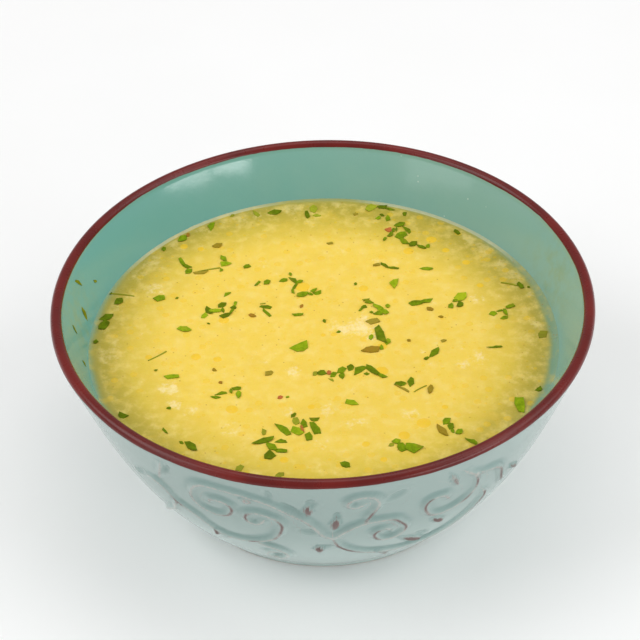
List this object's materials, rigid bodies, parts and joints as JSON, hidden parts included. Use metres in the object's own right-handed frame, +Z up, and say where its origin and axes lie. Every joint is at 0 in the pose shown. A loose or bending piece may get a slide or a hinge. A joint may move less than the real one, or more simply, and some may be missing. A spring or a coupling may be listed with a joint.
{
  "type": "bowl of vegetable soup",
  "caption": "Round footed stoneware bowl with a dark rim and a raised scrolling vine round its wall, filled with pale yellow vegetable soup and chopped parsley.",
  "frame": {"origin": "centre of the foot ring, on the surface the bowl stands on", "axes": "+Z up along the bowl's axis; -Y towards the viewer of the picture, +X to their right"},
  "size_m": [0.16, 0.16, 0.0655],
  "materials": {
    "glazed_stoneware": "glossy celadon glaze, thin and mauve brown on the relief, dark maroon on the lip",
    "broth": "wet, pale yellow and cloudy, with dull green parsley flakes"
  },
  "bodies": {
    "root": {"bowl": "glazed_stoneware", "soup": "broth"}
  },
  "joints": []
}
